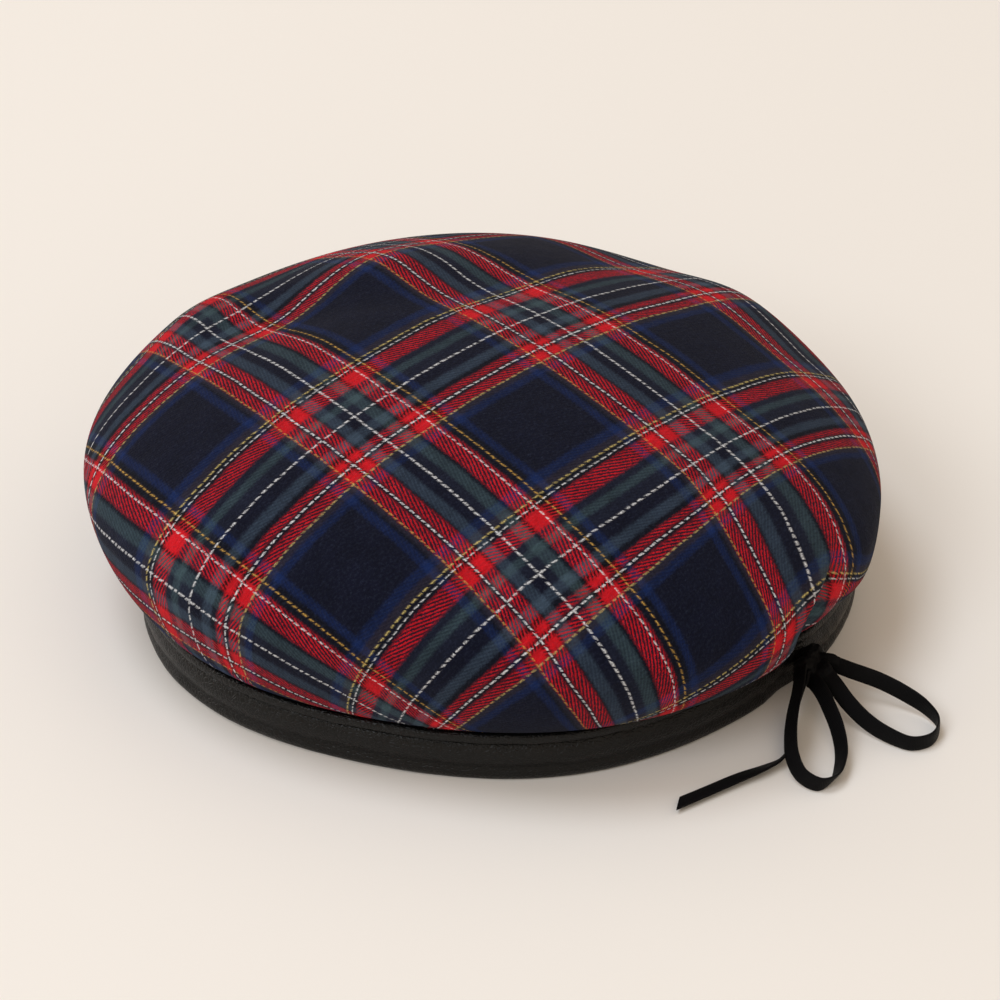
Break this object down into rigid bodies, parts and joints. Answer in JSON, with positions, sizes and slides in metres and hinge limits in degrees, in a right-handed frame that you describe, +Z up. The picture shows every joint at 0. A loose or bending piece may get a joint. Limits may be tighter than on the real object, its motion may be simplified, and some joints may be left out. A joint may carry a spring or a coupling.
{
  "type": "tam o shanter",
  "caption": "Soft round cap of tartan wool whose full crown overhangs a narrow folded leather binding, with the binding's flat drawstring tied in a bow at one side.",
  "frame": {"origin": "on the surface that the cap lies on, under the middle of the cap's own box, the bow's loops and tail left out", "axes": "+Z up through the top of the crown, +X towards the wearer's side with the bow, along the cap's longer side, +Y away from the side that the picture shows"},
  "size_m": [0.2316, 0.1994, 0.0744],
  "materials": {
    "wool": "brushed tartan wool, navy and black with red, grey-green, blue, white and yellow stripes",
    "leather": "black leather with a fine grain and a soft sheen",
    "tape": "matt black woven tape"
  },
  "bodies": {
    "root": {"crown": "wool", "headband": "leather", "band_welt": "leather", "bow_knot": "tape", "bow_loop_left": "tape", "bow_loop_right": "tape", "bow_tail": "tape"}
  },
  "joints": []
}
